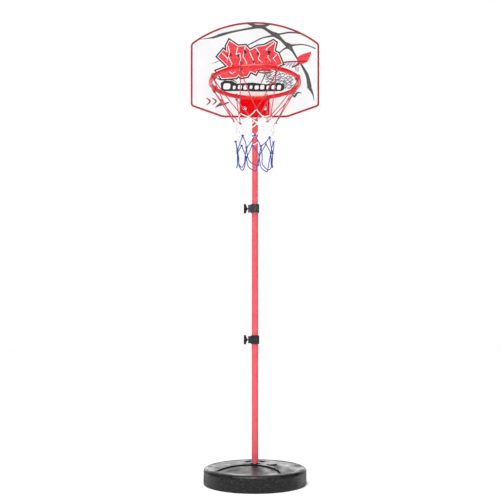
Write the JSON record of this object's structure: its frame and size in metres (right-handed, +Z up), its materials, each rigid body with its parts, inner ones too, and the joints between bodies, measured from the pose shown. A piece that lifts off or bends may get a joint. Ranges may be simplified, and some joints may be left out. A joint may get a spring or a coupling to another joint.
{
  "type": "portable basketball hoop",
  "caption": "Free-standing child's hoop: round ballast base, telescopic mast with clamp knobs, arched backboard, steel rim and knotted net.",
  "frame": {"origin": "on the floor under the mast's axis, at the middle of the base's underside", "axes": "+Z up along the mast; the backboard faces -Y; the clamp knobs point to -X"},
  "size_m": [0.48, 0.5659, 1.697],
  "materials": {
    "base_plastic": "blow-moulded polyethylene with a leathery mottle",
    "cap_plastic": "moulded polypropylene",
    "seal_rubber": "soft matt rubber",
    "clamp_plastic": "satin moulded nylon",
    "knob_plastic": "satin moulded plastic",
    "red_tube": "smooth red powder coat",
    "red_rim": "glossy red powder coat",
    "red_plate": "smooth red powder coat",
    "nylon": "natural nylon",
    "zinc_steel": "bright zinc plate",
    "white_plastic": "white moulded plastic",
    "printed_sheet": "printed plastic sheet",
    "net_cord": "braided polyester cord in red, white and blue"
  },
  "bodies": {
    "base": {"base_tank": "base_plastic", "pole_bush": "clamp_plastic", "tube_foot_cap": "clamp_plastic", "lower_tube": "red_tube", "lower_collar": "clamp_plastic", "lower_nut": "zinc_steel"},
    "cap_seal": {"cap_gasket": "seal_rubber"},
    "filler_cap": {"fill_cap": "cap_plastic"},
    "lower_clamp_shoe": {"lower_pad": "nylon"},
    "lower_clamp_knob": {"lower_knob": "knob_plastic", "lower_stud": "zinc_steel"},
    "middle_slider": {"middle_guide": "nylon"},
    "middle_mast": {"middle_tube": "red_tube", "upper_collar": "clamp_plastic", "upper_nut": "zinc_steel"},
    "upper_clamp_shoe": {"upper_pad": "nylon"},
    "upper_clamp_knob": {"upper_knob": "knob_plastic", "upper_stud": "zinc_steel"},
    "upper_slider": {"upper_guide": "nylon"},
    "head": {"upper_tube": "red_tube", "mast_sleeve": "red_tube", "sleeve_liner": "clamp_plastic", "sleeve_screws": "zinc_steel", "mast_cap": "knob_plastic", "back_plate": "red_plate", "backboard": "white_plastic", "board_sheet": "printed_sheet", "bracket_bolts": "zinc_steel", "bracket_washers": "zinc_steel", "back_washers": "zinc_steel", "back_nuts": "zinc_steel", "rim_ring": "red_rim", "rim_bracket": "red_plate", "net": "net_cord"}
  },
  "joints": [
    {"name": "cap_lift", "type": "slide", "parent": "base", "child": "cap_seal", "axis": [0, 0, 1], "range_m": [0, 0.005]},
    {"name": "cap_turn", "type": "hinge", "parent": "cap_seal", "child": "filler_cap", "pos_m": [0.061, -0.014, 0.0733], "axis": [0, 0, 1], "range_deg": [0, 450]},
    {"name": "lower_shoe_travel", "type": "slide", "parent": "base", "child": "lower_clamp_shoe", "axis": [-1, 0, 0], "range_m": [0, 0.00125]},
    {"name": "lower_knob_turn", "type": "hinge", "parent": "lower_clamp_shoe", "child": "lower_clamp_knob", "pos_m": [-0.035, 0, 0.53], "axis": [-1, 0, 0], "range_deg": [0, 450]},
    {"name": "middle_mast_slide", "type": "slide", "parent": "base", "child": "middle_slider", "axis": [0, 0, 1], "range_m": [-0.4, 0]},
    {"name": "middle_mast_swivel", "type": "hinge", "parent": "middle_slider", "child": "middle_mast", "pos_m": [0, 0, 0.5], "axis": [0, 0, 1], "continuous": true},
    {"name": "upper_shoe_travel", "type": "slide", "parent": "middle_mast", "child": "upper_clamp_shoe", "axis": [-1, 0, 0], "range_m": [0, 0.00125]},
    {"name": "upper_knob_turn", "type": "hinge", "parent": "upper_clamp_shoe", "child": "upper_clamp_knob", "pos_m": [-0.035, 0, 1.013], "axis": [-1, 0, 0], "range_deg": [0, 450]},
    {"name": "upper_mast_slide", "type": "slide", "parent": "middle_mast", "child": "upper_slider", "axis": [0, 0, 1], "range_m": [-0.28, 0]},
    {"name": "upper_mast_swivel", "type": "hinge", "parent": "upper_slider", "child": "head", "pos_m": [0, 0, 1], "axis": [0, 0, 1], "continuous": true}
  ],
  "couplings": [
    {"joint": "cap_turn", "follows": "cap_lift", "rad_per_m": 1570.8},
    {"joint": "lower_knob_turn", "follows": "lower_shoe_travel", "rad_per_m": 6283.2},
    {"joint": "upper_knob_turn", "follows": "upper_shoe_travel", "rad_per_m": 6283.2}
  ]
}
